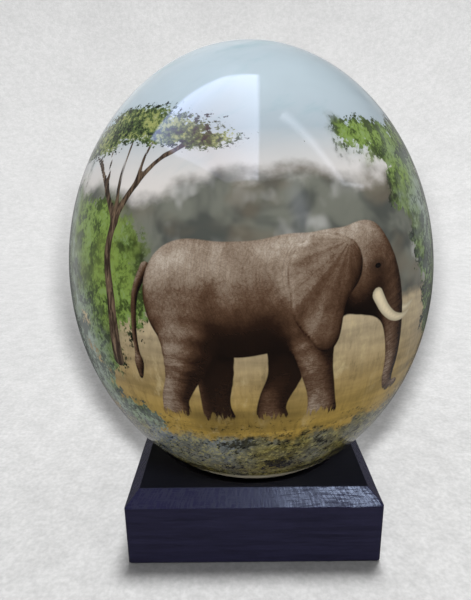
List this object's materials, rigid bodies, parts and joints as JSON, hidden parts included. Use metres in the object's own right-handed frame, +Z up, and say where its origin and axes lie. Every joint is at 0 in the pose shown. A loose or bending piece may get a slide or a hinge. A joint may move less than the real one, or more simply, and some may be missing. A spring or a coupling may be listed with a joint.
{
  "type": "ostrich egg",
  "caption": "Whole ostrich egg, lacquered and decorated with a savanna picture, resting upright in the turned seat of a square chamfered wooden stand.",
  "frame": {"origin": "centre of the stand's underside, on the surface it rests on", "axes": "+Z up, along the egg's height; -Y is the front that the picture faces; +X to the right seen from the front"},
  "size_m": [0.1234, 0.1234, 0.164],
  "materials": {
    "lacquered_shell": "eggshell covered with a printed picture under a clear high-gloss lacquer",
    "stained_wood": "open-grained wood stained blue-black, thin satin varnish"
  },
  "bodies": {
    "root": {"egg": "lacquered_shell", "stand": "stained_wood"}
  },
  "joints": []
}
